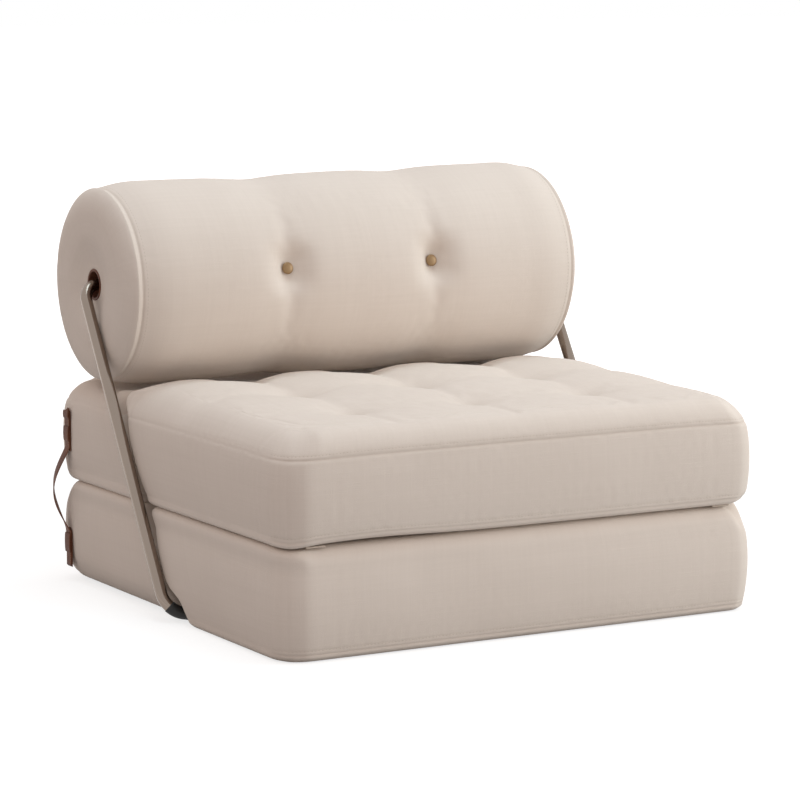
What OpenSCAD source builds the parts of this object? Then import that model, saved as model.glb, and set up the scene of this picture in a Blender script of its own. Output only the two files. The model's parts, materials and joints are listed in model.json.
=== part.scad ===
// Floor sofa bed: two mattress layers, a leaning steel hoop and a round bolster.
//
// Millimetres, +Z up, +Y to the rear, the floor at Z = 0.
// Each layer is cut in two blocks by a slanted channel. The hoop's floor bar lies in the
// channel, its legs run up outside the blocks, and its turned-in ends carry the bolster.
// The front upper block folds forward on two fabric tabs to make the bed.

/* [Mattress] */
// Width of the mattress blocks
seat_w = 900; // [800:10:1100]
// Depth of the mattress from its front to its rear
seat_d = 880; // [820:10:940]
// Height of the lower layer
layer_h = 180; // [160:2:190]
// Height of the rear upper block, which the bolster presses flat
rear_h = 177; // [160:1:190]
// Height of the front upper block at its edge, without the crown
seat_h = 178; // [165:1:190]
// Rise of the seat's crown above its edge
seat_crown = 12; // [4:1:14]
// Share of that rise by which the crown leans to the rear, where the bolster props it up
crown_lean = 0.6; // [0:0.1:0.8]
// Radius of the outer upright corners in plan
corner_r = 56; // [45:1:60]
// How much larger the radius of the long edges gets where they run round an outer corner
corner_soft = 12; // [0:1:14]
// Radius of the upright corners beside the channel, down where the hoop bends and tips
channel_corner_r = 30; // [28:1:34]
// Radius of the same corners higher up
channel_corner_high = 10; // [6:1:20]
// Radius of the padded shoulder between the seat and its seam
shoulder_r = 34; // [28:1:42]
// Radius of the other long edges
edge_r = 24; // [18:1:26]
// Depth of the sewn seam below the faces beside it
seam_depth = 2.5; // [1:0.5:4]
// Depth of a sewn tuft in the seat
tuft_depth = 15; // [6:1:20]
// Distance at which a tuft fades out
tuft_reach = 62; // [50:1:80]
// Distance between two columns of tufts
tuft_pitch_x = 225; // [180:5:240]
// Distance between two rows of tufts
tuft_pitch_y = 190; // [170:5:196]
// Distance of the front row of tufts from the front face
tuft_front = 186; // [160:2:190]
// Wadding between a foam core and the cover's face
wadding = 30; // [28:1:36]

/* [Frame] */
// Outer diameter of the hoop's tube
tube_d = 20; // [16:1:22]
// Wall of the hoop's tube and of the cross tube
tube_wall = 1.5; // [1:0.1:2]
// Clearance between a leg and the side of the blocks
leg_gap = 1; // [0.6:0.1:3]
// Centre line radius of the bends at the floor
floor_bend_r = 40; // [36:1:44]
// Centre line radius of the bends at the bolster
top_bend_r = 30; // [26:1:34]
// Distance from the front face of the blocks to the floor bar
bar_setback = 395; // [370:5:410]
// Wall of the rubber sleeves that the bar stands on
sleeve_wall = 3; // [2:0.5:4]
// Length of a rubber sleeve
sleeve_length = 84; // [50:2:120]
// Clearance between the channel's faces and the rubber sleeves
channel_gap = 0.5; // [0.4:0.1:1.5]
// Height of the fabric pocket's sides, along the channel
pocket_height = 80; // [60:2:90]

/* [Bolster] */
// Radius of the bolster
bolster_r = 175; // [160:1:182]
// Clearance between an end of the bolster and the leg beside it
bolster_gap = 4; // [3:0.5:20]
// How much slimmer the bolster is where the buttons draw it in
bolster_waist = 3; // [0:0.5:6]
// How far the bolster reaches behind the mattress
bolster_over = 13; // [0:1:30]
// Distance from the seam to the outermost point of an end
end_crown = 24; // [16:1:28]
// Depth of the hollow round the leather lined hole
end_hollow = 8.5; // [4:0.5:10]
// Inner diameter of a leather lined hole
hole_d = 45; // [42:1:50]
// Thickness of the leather lining
liner_wall = 2.5; // [1.5:0.5:3]
// Distance from the middle to a button
button_x = 143; // [120:1:170]
// Height of a button above the bolster's axis, as an angle
button_angle = 10; // [0:1:20]
// Diameter of a button
button_d = 21; // [16:1:24]
// Depth of the dimple that a button draws in
dimple_depth = 21; // [12:1:23]
// Outer diameter of the tube in the foam
core_tube_d = 32; // [30:1:36]
// Outer diameter of the steel cross tube
cross_d = 25; // [24.2:0.1:26]
// Length of cross tube that shows inside a lined hole
cross_end = 14; // [12:1:18]

/* [Straps] */
// Width of a strap
strap_w = 19; // [16:1:24]
// Thickness of the strap leather
strap_t = 2.2; // [1.5:0.1:3]
// Thickness of the leather backing under a strap
backing_t = 1.2; // [0.8:0.1:2]
// How far the free strap stands out from the corner
strap_bow = 27; // [20:1:32]
// Direction of that bow, from straight out of the side towards the rear
strap_aim = 45; // [20:5:50]
// Turn of the free strap about its own length
strap_twist = 24; // [0:1:28]
// Height of the strap's upper end
strap_top = 306; // [302:1:312]
// Height at which the strap leaves the upper block
strap_leave = 240; // [236:1:246]
// Height at which the strap meets the lower block
strap_meet = 88; // [80:1:96]
// Height of the strap's lower end
strap_end = 28; // [26:1:40]

/* [Hidden] */

$fn = 64;
fit = 0.3;                  // clearance between pieces that lie on one another
running_fit = 0.4;          // clearance between pieces that turn on one another
tab_t = 0.8;                // thickness of the hinge fabric
tab_w = 34;                 // width of one hinge tab
tab_inset = 50;             // distance of a tab from the side of the blocks
tab_depth = 70;             // how far a tab reaches in between the layers
welt_r = 1.5;               // radius of the cord in the fold of a tab
hinge_out = 1;              // distance of the fold in front of the front face
pocket_t = 0.9;             // thickness of the pocket fabric
screw_r = 2.5;              // radius of a set screw
tie_r = 1.5;                // radius of a button's tie
toggle_r = 12;              // radius of the toggle that holds a tie in the foam
toggle_t = 3;               // thickness of that toggle
toggle_reach = 74;          // distance of the toggle from the bolster's axis
spigot_length = 72;         // length of a turned-in end inside the cross tube
end_wall = 38;              // wadding between the foam and the end of the bolster
rows_y = 3;                 // rows of tufts
columns_x = 3;              // columns of tufts

half_w = seat_w / 2;
front_y = -(seat_d + bolster_over) / 2;
rear_y = front_y + seat_d;
tube_r = tube_d / 2;
sleeve_r = tube_r + sleeve_wall;
leg_x = half_w + leg_gap + tube_r;
end_x = leg_x - tube_r - bolster_gap;       // outermost point of the bolster's end
foam_x = end_x - end_hollow - end_wall;     // half length of the bolster's foam

hinge_y = front_y - hinge_out;
hinge_z = layer_h + tab_t + 1.5 * fit;
seat_z = 2 * hinge_z - layer_h;             // underside of the front upper block
rear_z = layer_h + fit;                     // underside of the rear upper block
rear_top_z = rear_z + rear_h;
bolster_y = rear_y + bolster_over - bolster_r;
bolster_z = rear_top_z + fit + bolster_r;

// The hoop leans to the rear, from the floor bar's axis to the bolster's axis.
bar_y = front_y + bar_setback;
bar_z = sleeve_r;
lean = atan((bolster_y - bar_y) / (bolster_z - bar_z));
reach = norm([bolster_y - bar_y, bolster_z - bar_z]);
channel_half = sleeve_r + channel_gap;
function channel_y(z, side) =
    bar_y + (z - bar_z) * tan(lean) + side * channel_half / cos(lean);

// Stuffed blocks
//
// A block is a stack of rings. A ring is a rectangle with round corners, and its inset from
// the block's flat faces makes the rounded edges, the puffed sides and the sewn seams.
// Its stations run 0, 1, 2 round a corner, then along the straight, then round the next one.

function mix(a, b, t) = a + (b - a) * t;
function straight(i, n) = max(-1, min(1, 2 * (i - 2) / (n - 4) - 1));
function bend(i, n) = i < 2 ? (i - 2) / 2 : i > n - 2 ? (i - n + 2) / 2 : 0;

// Plan position of station i, j. The corner squares are pressed into quarter discs.
function plan_point(i, j, n, inset, y0, y1, r0, r1) =
    let (
        r = max(4, mix(r0, r1, (straight(j, n[1]) + 1) / 2) - inset),
        bx = bend(i, n[0]),
        by = bend(j, n[1]),
        half_y = (y1 - y0) / 2 - inset
    )
    [
        straight(i, n[0]) * (half_w - inset - r) + r * bx * sqrt(1 - by * by / 2),
        (y0 + y1) / 2 + straight(j, n[1]) * (half_y - r) + r * by * sqrt(1 - bx * bx / 2)
    ];

// Rings of a block from z0 to z1, as [height, inset]. The lower edge has radius e0, the
// upper edge e1, and a seam is sewn where each edge meets the upright face.
function block_rings(z0, z1, e0, e1) = [
    [z0, e0],
    for (a = [60, 30]) [z0 + e0 * (1 - sin(a)), e0 * (1 - cos(a))],
    [z0 + e0, seam_depth],
    [z0 + e0 + 10, 0.4],
    [(z0 + e0 + z1 - e1) / 2, 0],
    [z1 - e1 - 10, 0.4],
    [z1 - e1, seam_depth],
    for (a = [15, 38, 62]) [z1 - e1 * (1 - sin(a)), e1 * (1 - cos(a))]
];

// Columns and rows of sewn tufts on the seat
tufts = [
    for (c = [0:columns_x - 1]) for (r = [0:rows_y - 1])
        [(c - (columns_x - 1) / 2) * tuft_pitch_x, front_y + tuft_front + r * tuft_pitch_y]
];
function tuft_fall(p) = max([for (t = tufts) exp(-pow(norm(p - t) / tuft_reach, 2))]);
function dome(s) = 1 - pow(abs(s), 6);

// Height of the top at plan point p, from the edge's height inwards
function top_height(p, edge, y0, y1, e1, rise, dent) =
    let (
        s = p[0] / (half_w - edge[1]),
        t = (2 * p[1] - y0 - y1) / (y1 - y0 - 2 * edge[1]),
        inward = min(1, (1 - max(abs(s), abs(t))) * (y1 - y0) / (1.6 * e1))
    )
    edge[0] + (rise[0] - edge[0]) * sin(90 * inward) + rise[1] * dome(s) * dome(t) * (1 + crown_lean * t)
        - dent * tuft_fall(p);

function border(i, j, n) =
    j == 0 ? i : i == n[0] ? n[0] + j : j == n[1] ? 2 * n[0] + n[1] - i : 2 * (n[0] + n[1]) - j;

// One stuffed block. n holds the number of steps across and in depth, channel_side is -1
// where the channel bounds the block's rear, 1 where it bounds its front.
module stuffed_block(n, z0, z1, e0, e1, channel_side, rise, dent) {
    last = len(block_rings(z0, z1, e0, e1)) - 1;
    around = 2 * (n[0] + n[1]);
    function inner_r(z) = z < 2 * floor_bend_r ? channel_corner_r : channel_corner_high;
    function low_y(z) = channel_side < 0 ? front_y : channel_y(z, 1);
    function high_y(z) = channel_side < 0 ? channel_y(z, -1) : rear_y;
    // the nearer the middle of an outer corner, the larger the radius of its edges
    function soft(i, j) = channel_side * bend(j, n[1]) > 0
        ? corner_soft * min(abs(bend(i, n[0])), abs(bend(j, n[1]))) : 0;
    function ring_at(i, j, k) = block_rings(z0, z1, e0 + soft(i, j), e1 + soft(i, j))[k];
    function at(i, j, ring) = let (z = ring[0], r = inner_r(z)) plan_point(i, j, n, ring[1],
        low_y(z), high_y(z), channel_side < 0 ? corner_r : r, channel_side < 0 ? r : corner_r);
    walk = concat(
        [for (i = [0:n[0] - 1]) [i, 0]], [for (j = [0:n[1] - 1]) [n[0], j]],
        [for (i = [n[0]:-1:1]) [i, n[1]]], [for (j = [n[1]:-1:1]) [0, j]]
    );
    // a tuft close to an edge draws the edge down with it
    function drawn(p, z) = z - dent * tuft_fall(p) * max(0, z - z1 + e1) / e1;
    points = concat(
        [for (k = [0:last]) for (w = walk)
            let (ring = ring_at(w[0], w[1], k), p = at(w[0], w[1], ring)) concat(p, drawn(p, ring[0]))],
        [for (j = [1:n[1] - 1]) for (i = [1:n[0] - 1])
            let (edge = ring_at(i, j, last), p = at(i, j, edge)) concat(p,
                top_height(p, edge, low_y(edge[0]), high_y(edge[0]), e1, [z1, rise], dent))]
    );
    function index(i, j) = i == 0 || j == 0 || i == n[0] || j == n[1]
        ? last * around + border(i, j, n) % around
        : (last + 1) * around + (j - 1) * (n[0] - 1) + i - 1;
    sides = [for (k = [0:last - 1]) for (m = [0:around - 1])
        let (a = k * around + m, b = k * around + (m + 1) % around)
        each [[a, a + around, b + around], [a, b + around, b]]];
    top = [for (j = [0:n[1] - 1]) for (i = [0:n[0] - 1])
        each [[index(i, j), index(i, j + 1), index(i + 1, j + 1)],
            [index(i, j), index(i + 1, j + 1), index(i + 1, j)]]];
    polyhedron(points, concat([[for (m = [0:around - 1]) m]], sides, top));
}

// Foam slab with flat faces, grow mm larger than the core that it stands for
module foam_slab(z0, z1, channel_side, grow) {
    margin = wadding - grow;
    low = z0 + margin;
    high = z1 - margin;
    slant = margin / cos(lean);
    outline = channel_side < 0
        ? [[front_y + margin, low], [channel_y(low, -1) - slant, low],
            [channel_y(high, -1) - slant, high], [front_y + margin, high]]
        : [[channel_y(low, 1) + slant, low], [rear_y - margin, low],
            [rear_y - margin, high], [channel_y(high, 1) + slant, high]];
    rotate([90, 0, 90]) linear_extrude(seat_w - 2 * margin, center = true) polygon(outline);
}

module lower_front_cover() {
    color("linen") difference() {
        stuffed_block([16, 12], 0, layer_h, edge_r, edge_r, -1, 0, tuft_depth / 2);
        foam_slab(0, layer_h, -1, fit);
    }
}

module lower_front_foam() {
    color("khaki") foam_slab(0, layer_h, -1, 0);
}

module lower_rear_cover() {
    color("linen") difference() {
        stuffed_block([10, 10], 0, layer_h, edge_r, edge_r, 1, 0, 0);
        foam_slab(0, layer_h, 1, fit);
    }
}

module lower_rear_foam() {
    color("khaki") foam_slab(0, layer_h, 1, 0);
}

module seat_cover() {
    color("linen") difference() {
        stuffed_block([20, 16], seat_z, seat_z + seat_h, edge_r, shoulder_r, -1, seat_crown, tuft_depth);
        foam_slab(seat_z, seat_z + seat_h, -1, fit);
    }
}

module seat_foam() {
    color("khaki") foam_slab(seat_z, seat_z + seat_h, -1, 0);
}

module rear_seat_cover() {
    color("linen") difference() {
        stuffed_block([12, 10], rear_z, rear_top_z, edge_r, edge_r, 1, 0, 0);
        foam_slab(rear_z, rear_top_z, 1, fit);
    }
}

module rear_seat_foam() {
    color("khaki") foam_slab(rear_z, rear_top_z, 1, 0);
}

// Fabric tabs of the front hinge. The fold holds a cord, on which the upper tabs turn.

module tab_pair(low, from_y) {
    for (side = [-1, 1])
        translate([side * (half_w - tab_inset - tab_w / 2), (from_y + hinge_y + tab_depth) / 2, low + tab_t / 2])
            cube([tab_w, hinge_y + tab_depth - from_y, tab_t], center = true);
}

module hinge_tabs_lower() {
    color("tan") union() {
        tab_pair(layer_h + fit, hinge_y);
        for (side = [-1, 1])
            translate([side * (half_w - tab_inset - tab_w / 2), hinge_y, hinge_z])
                rotate([0, 90, 0]) cylinder(r = welt_r, h = tab_w, center = true);
    }
}

module hinge_tabs_upper() {
    color("tan") tab_pair(seat_z - fit - tab_t, hinge_y + welt_r + fit);
}

// Steel hoop, drawn upright in its own plane: x across, z along the legs from the floor bar

module in_hoop_plane() {
    translate([0, bar_y, bar_z]) rotate([-lean, 0, 0]) children();
}

module ring_2d(outer, inner) {
    difference() {
        circle(r = outer);
        circle(r = inner);
    }
}

// Straight tube from x0 to x1 along x, at height z
module cross_run(x0, x1, z, outer, inner) {
    translate([x0, 0, z]) rotate([0, 90, 0]) linear_extrude(x1 - x0) ring_2d(outer, inner);
}

// Quarter bend with centre [x, 0, z], in the quadrant that starts at angle from
module quarter_bend(x, z, r, from) {
    translate([x, 0, z]) rotate([90, 0, 0]) rotate([0, 0, from])
        rotate_extrude(angle = 90) translate([r, 0]) ring_2d(tube_r, tube_r - tube_wall);
}

module hoop_side() {
    inner = tube_r - tube_wall;
    quarter_bend(leg_x - floor_bend_r, floor_bend_r, floor_bend_r, 270);
    translate([leg_x, 0, floor_bend_r])
        linear_extrude(reach - floor_bend_r - top_bend_r) ring_2d(tube_r, inner);
    quarter_bend(leg_x - top_bend_r, reach - top_bend_r, top_bend_r, 0);
    cross_run(spigot_x, leg_x - top_bend_r, reach, tube_r, inner);
}

cross_x = foam_x + cross_end;               // half length of the cross tube
spigot_x = cross_x - spigot_length;
screw_x = cross_x - cross_end / 2;

module screw_places() {
    for (side = [-1, 1]) translate([side * screw_x, 0, reach]) rotate([180, 0, 0]) children();
}

module frame_hoop() {
    color("silver") in_hoop_plane() difference() {
        union() {
            cross_run(-leg_x + floor_bend_r, leg_x - floor_bend_r, 0, tube_r, tube_r - tube_wall);
            hoop_side();
            mirror([1, 0, 0]) hoop_side();
        }
        screw_places() cylinder(r = screw_r, h = cross_d);
    }
}

module cross_tube() {
    color("gray") in_hoop_plane() difference() {
        cross_run(-cross_x, cross_x, reach, cross_d / 2, tube_r + fit);
        screw_places() cylinder(r = screw_r, h = cross_d);
    }
}

module set_screws() {
    hold = tube_r - tube_wall;
    color("dimgray") in_hoop_plane() screw_places() difference() {
        translate([0, 0, hold]) cylinder(r = screw_r - fit / 2, h = cross_d / 2 - hold);
        translate([0, 0, cross_d / 2 - 2]) cylinder(r = screw_r / 2, h = 3, $fn = 6);
    }
}

module floor_sleeve(side) {
    outer_end = leg_x - floor_bend_r - 2;
    color("dimgray") in_hoop_plane() mirror([side < 0 ? 1 : 0, 0, 0])
        cross_run(outer_end - sleeve_length, outer_end, 0, sleeve_r, tube_r + fit / 2);
}

module floor_sleeve_left() {
    floor_sleeve(-1);
}

module floor_sleeve_right() {
    floor_sleeve(1);
}

// Fabric pocket sewn to both channel faces, which keeps the bar in the channel
module bar_pocket() {
    half = leg_x - floor_bend_r - sleeve_length - 2 - 12;
    outer = sleeve_r - fit / 3;
    color("tan") in_hoop_plane() difference() {
        union() {
            rotate([0, 90, 0]) cylinder(r = outer, h = 2 * half, center = true);
            translate([0, 0, pocket_height / 2]) cube([2 * half, 2 * outer, pocket_height], center = true);
        }
        rotate([0, 90, 0]) cylinder(r = outer - pocket_t, h = 2 * half + 2, center = true);
        translate([0, 0, pocket_height / 2 + 1])
            cube([2 * half + 2, 2 * (outer - pocket_t), pocket_height + 2], center = true);
    }
}

// Bolster
//
// Rings along x from the middle outwards, as [place, radius]. The places beside the buttons
// are closer together, and the end is crowned round its lined hole.

seam_x = end_x - end_crown;
hole_r = hole_d / 2;
liner_r = hole_r + liner_wall;
function waist_r(x) =
    bolster_r - bolster_waist * exp(-pow(max(0, x - button_x - 13) / 80, 2));
button_seat = waist_r(button_x) - dimple_depth;     // distance of a button's seat from the axis
foam_r = min(bolster_r - wadding, button_seat - 2);

end_profile = concat(
    [for (p = [[0.4, 1], [0.76, 0.998], [0.94, 0.987]])
        [mix(button_x + 60, seam_x, p[0]), waist_r(mix(button_x + 60, seam_x, p[0])) * p[1]]],
    [[seam_x, bolster_r * 0.978 - seam_depth]],
    [for (a = [22, 44, 64, 80])
        [seam_x + 3 + (end_crown - 3) * sin(a),
            mix(bolster_r * 0.6, bolster_r * 0.976, cos(a))]],
    [[end_x, bolster_r * 0.5], [end_x - end_hollow * 0.35, bolster_r * 0.32],
        [end_x - end_hollow * 0.8, liner_r + 12], [end_x - end_hollow, liner_r + 3]]
);
half_profile = concat(
    [for (x = [0, button_x - 62, button_x - 30, button_x - 13, button_x, button_x + 13,
        button_x + 30, button_x + 60]) [x, waist_r(x)]],
    end_profile
);
bolster_rings = concat(
    [for (k = [len(half_profile) - 1:-1:1]) [-half_profile[k][0], half_profile[k][1]]],
    half_profile
);

// Angle of station m of n: closer together at the front, where the buttons are
bolster_steps = 32;
function bolster_angle(m) =
    let (t = 360 * m / bolster_steps) 180 - button_angle + t - 24 * sin(t);

// Fall of the surface round a button, with a crease above and below it
function past(d, flat) = max(0, abs(d) - flat);
function dimple(x, a) =
    let (
        turn = (a - 180 + button_angle + 540) % 360 - 180,
        arc = turn * PI / 180 * bolster_r,
        side = abs(x) - button_x,
        pit = exp(-pow(past(side, 13) / 26, 2) - pow(past(arc, 13) / 30, 2)),
        crease = exp(-pow(past(side, 13) / 12, 2) - pow(past(arc, 13) / 80, 2))
    )
    dimple_depth * (0.76 * pit + 0.24 * crease);

module bolster_form() {
    around = bolster_steps;
    last = len(bolster_rings) - 1;
    points = [for (ring = bolster_rings) for (m = [0:around - 1])
        let (a = bolster_angle(m), r = ring[1] - dimple(ring[0], a))
        [ring[0], r * cos(a), r * sin(a)]];
    sides = [for (k = [0:last - 1]) for (m = [0:around - 1])
        let (a = k * around + m, b = k * around + (m + 1) % around)
        each [[a, b, b + around], [a, b + around, a + around]]];
    polyhedron(points, concat(
        [[for (m = [around - 1:-1:0]) m]], sides, [[for (m = [0:around - 1]) last * around + m]]
    ));
}

module at_bolster() {
    translate([0, bolster_y, bolster_z]) children();
}

module along_x(r, length) {
    rotate([0, 90, 0]) cylinder(r = r, h = length, center = true);
}

// Children stand on the button's line, with +z pointing out of the bolster
module at_button(side) {
    translate([side * button_x, 0, 0]) rotate([90 - button_angle, 0, 0]) children();
}

module bolster_cover() {
    color("linen") at_bolster() difference() {
        bolster_form();
        along_x(foam_r + fit, 2 * (foam_x + fit));
        along_x(liner_r + fit, 2 * end_x + 2);
        for (side = [-1, 1]) at_button(side) cylinder(r = tie_r + fit, h = bolster_r);
    }
}

module bolster_foam() {
    color("khaki") at_bolster() difference() {
        along_x(foam_r, 2 * foam_x);
        along_x(core_tube_d / 2 + fit, 2 * foam_x + 2);
        for (side = [-1, 1]) at_button(side) {
            translate([0, 0, toggle_reach - fit]) cylinder(r = tie_r + fit, h = bolster_r);
            translate([0, 0, toggle_reach - toggle_t - fit])
                cylinder(r = toggle_r + fit, h = toggle_t + 2 * fit);
        }
    }
}

module core_tube() {
    color("burlywood") at_bolster() difference() {
        along_x(core_tube_d / 2, 2 * foam_x - 2);
        along_x(cross_d / 2 + running_fit, 2 * foam_x);
    }
}

// Leather lining of a hole, turned out over the cover as a narrow lip
module hole_liner(side) {
    inner_x = foam_x + 2 * fit;
    outer_x = end_x - end_hollow + fit;
    color("saddlebrown") at_bolster() mirror([side < 0 ? 1 : 0, 0, 0])
        translate([inner_x, 0, 0]) rotate([0, 90, 0]) rotate_extrude() polygon([
            [hole_r, 0], [liner_r, 0], [liner_r, outer_x - inner_x],
            [liner_r + 2.4, outer_x - inner_x], [liner_r + 2, outer_x - inner_x + 1],
            [liner_r, outer_x - inner_x + 1.6], [hole_r + 0.6, outer_x - inner_x + 1.2],
            [hole_r, outer_x - inner_x]
        ]);
}

module hole_liner_left() {
    hole_liner(-1);
}

module hole_liner_right() {
    hole_liner(1);
}

// Domed button with a shank that the tie is knotted to
module bolster_button(side) {
    r = button_d / 2;
    color("peru") at_bolster() at_button(side) translate([0, 0, button_seat + fit])
        difference() {
            rotate_extrude() polygon([
                [0, 0], [r * 0.72, 0], [r * 0.96, 1.2], [r, 2.4],
                for (a = [0:15:75]) [(r - 1.6) * cos(a) + 1.6 * cos(a), 2.6 + 3.4 * sin(a)],
                [0, 6]
            ]);
            translate([0, 0, -1]) cylinder(r = tie_r + fit, h = 3);
        }
}

module bolster_button_left() {
    bolster_button(-1);
}

module bolster_button_right() {
    bolster_button(1);
}

// Ties that pull the buttons in, each held by a toggle in the foam
module button_ties() {
    color("ivory") at_bolster() for (side = [-1, 1]) at_button(side) union() {
        translate([0, 0, toggle_reach - toggle_t]) cylinder(r = toggle_r, h = toggle_t);
        translate([0, 0, toggle_reach - 1])
            cylinder(r = tie_r, h = button_seat + 2 - fit - toggle_reach + 1);
    }
}

// Leather straps beside the rear corners
//
// A strap lies on the side where the corner's rounding starts, and stands out as a handle
// between the layers. Its path is [height, distance out, distance to the rear, turn].

strap_y = rear_y - corner_r - 12;           // middle of the strap's width where it is sewn on
strap_on = 2 * fit + backing_t;             // distance of a sewn strap from the side
free_steps = 14;
function free_bow(t) = strap_bow * pow(sin(180 * t), 1.2);
function free_turn(t) = -strap_twist * (sin(180 * t) + sin(360 * t) / 2);
strap_path = concat(
    [[strap_end, strap_on, 0, 0], [(strap_end + strap_meet) / 2, strap_on, 0, 0]],
    [for (k = [0:free_steps]) let (t = k / free_steps)
        [mix(strap_meet, strap_leave, t), strap_on + free_bow(t) * cos(strap_aim),
            free_bow(t) * sin(strap_aim), free_turn(t)]],
    [[(strap_leave + strap_top) / 2, strap_on, 0, 0], [strap_top, strap_on, 0, 0]]
);

// Leather band along a path, with square edges
module band(path, width, thick) {
    last = len(path) - 1;
    function slope(k) = let (
        a = path[max(0, k - 1)], b = path[min(last, k + 1)],
        d = [b[1] - a[1], b[0] - a[0]]
    ) d / norm(d);
    // across: towards the rear along the band's width, lift: through its thickness
    function place(k, across, lift) = let (
        s = slope(k), turn = path[k][3],
        out = path[k][1] + lift * s[1] * cos(turn) + across * sin(turn),
        rear = path[k][2] - lift * s[1] * sin(turn) + across * cos(turn)
    ) [-(half_w + out), strap_y + rear, path[k][0] - lift * s[0]];
    section = [[-width / 2, 0], [width / 2, 0], [width / 2, thick], [-width / 2, thick]];
    points = [for (k = [0:last]) for (p = section) place(k, p[0], p[1])];
    sides = [for (k = [0:last - 1]) for (m = [0:3])
        let (a = k * 4 + m, b = k * 4 + (m + 1) % 4) each [[a, b, b + 4], [a, b + 4, a + 4]]];
    polyhedron(points, concat(sides, [[0, 3, 2], [0, 2, 1]],
        [[0, 1, 2] + last * [4, 4, 4], [0, 2, 3] + last * [4, 4, 4]]));
}

module on_side(side) {
    mirror([side < 0 ? 0 : 1, 0, 0]) children();
}

module strap(side) {
    color("saddlebrown") on_side(side) band(strap_path, strap_w, strap_t);
}

module strap_backing(side) {
    color("saddlebrown") on_side(side) {
        band([[strap_end - 2, fit, 0, 0], [strap_meet + 8, fit, 0, 0]], strap_w + 2, backing_t);
        band([[strap_leave - 8, fit, 0, 0], [strap_top + 2, fit, 0, 0]], strap_w + 2, backing_t);
    }
}

module strap_keepers(side) {
    out = strap_on + strap_t + fit;
    color("saddlebrown") on_side(side)
        for (k = [[strap_meet - 36, 34], [strap_leave + 10, 26], [strap_top - 16, 14]])
            band([[k[0], out, 0, 0], [k[0] + k[1], out, 0, 0]], strap_w + 2, 1.8);
}

module strap_left() {
    strap(-1);
}

module strap_right() {
    strap(1);
}

module strap_backing_left() {
    strap_backing(-1);
}

module strap_backing_right() {
    strap_backing(1);
}

module strap_keepers_left() {
    strap_keepers(-1);
}

module strap_keepers_right() {
    strap_keepers(1);
}

lower_front_cover();
lower_front_foam();
lower_rear_cover();
lower_rear_foam();
seat_cover();
seat_foam();
rear_seat_cover();
rear_seat_foam();
hinge_tabs_lower();
hinge_tabs_upper();
bar_pocket();
frame_hoop();
cross_tube();
set_screws();
floor_sleeve_left();
floor_sleeve_right();
bolster_cover();
bolster_foam();
core_tube();
hole_liner_left();
hole_liner_right();
bolster_button_left();
bolster_button_right();
button_ties();
strap_left();
strap_right();
strap_backing_left();
strap_backing_right();
strap_keepers_left();
strap_keepers_right();
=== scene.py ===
# %% [markdown]
# # A floor sofa bed in linen, steel and leather
#
# The sofa is four stuffed blocks in two layers, a leaning steel hoop, and a round bolster that
# turns on the hoop's upper ends. Its solids were made in CAD. This file loads them as a fixed
# frame and gives each piece its looks: soft covers are made again as cloth over foam, and the
# rigid pieces keep their shape and get a finish. Lengths are in metres, +Z is up, and +Y is
# the rear.

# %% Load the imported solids
import json
import bpy
import numpy as np
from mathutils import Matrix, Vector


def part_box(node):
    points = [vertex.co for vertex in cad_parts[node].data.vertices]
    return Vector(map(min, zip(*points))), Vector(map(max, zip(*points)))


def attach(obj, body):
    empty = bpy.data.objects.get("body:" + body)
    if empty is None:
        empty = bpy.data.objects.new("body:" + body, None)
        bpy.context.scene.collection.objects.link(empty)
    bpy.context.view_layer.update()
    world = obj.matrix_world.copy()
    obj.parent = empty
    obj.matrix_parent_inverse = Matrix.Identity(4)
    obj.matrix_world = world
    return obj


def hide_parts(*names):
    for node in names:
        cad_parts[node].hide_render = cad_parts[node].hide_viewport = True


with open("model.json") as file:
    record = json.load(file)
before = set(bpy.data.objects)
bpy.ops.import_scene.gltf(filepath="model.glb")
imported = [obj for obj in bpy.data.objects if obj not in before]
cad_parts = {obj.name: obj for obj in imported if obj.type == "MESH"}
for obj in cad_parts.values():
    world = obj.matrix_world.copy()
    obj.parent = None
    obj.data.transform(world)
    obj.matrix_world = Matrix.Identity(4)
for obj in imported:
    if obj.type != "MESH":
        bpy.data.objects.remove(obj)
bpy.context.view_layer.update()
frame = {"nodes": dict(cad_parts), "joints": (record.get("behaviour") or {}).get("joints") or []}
joints = {joint["name"]: joint for joint in frame["joints"]}


def add(name, data, *columns):
    """A new object in the scene. For a camera or a lamp, columns are its right, up, back and place."""
    made = bpy.data.objects.new(name, data)
    if columns:
        matrix = np.eye(4)
        matrix[:3] = np.stack(columns, 1)
        made.matrix_world = matrix.T.tolist()
    bpy.context.scene.collection.objects.link(made)
    return made


print("solids:", len(frame["nodes"]), "joints:", ", ".join(joints))

# %% [markdown]
# ## The camera
#
# A photograph can be matched by eye, by dragging the camera about, or by fitting. Here a camera
# was fitted to edges whose place on the sofa is known, so it looks from 29.4 degrees left of
# the front and 7.9 degrees down, from far away with a long lens. It points at a place close
# to the sofa's middle. The lens shift is almost nothing.

# %% Place the camera
SENSOR = 36.0                     # width of the sensor in millimetres
PHOTO = 800                       # width and height of the picture in pixels
focal_px, centre_px = 3226.6, (395.87, 398.1)
aim, distance = np.array([.00303, 0, .33748]), 5.5583
azimuth, pitch, roll = np.radians([29.4, 7.87, -.08])

back = np.array([-np.sin(azimuth) * np.cos(pitch), -np.cos(azimuth) * np.cos(pitch), np.sin(pitch)])
right = np.array([np.cos(azimuth), -np.sin(azimuth), 0])
up = np.cross(back, right)
right, up = right * np.cos(roll) + up * np.sin(roll), up * np.cos(roll) - right * np.sin(roll)

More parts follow.
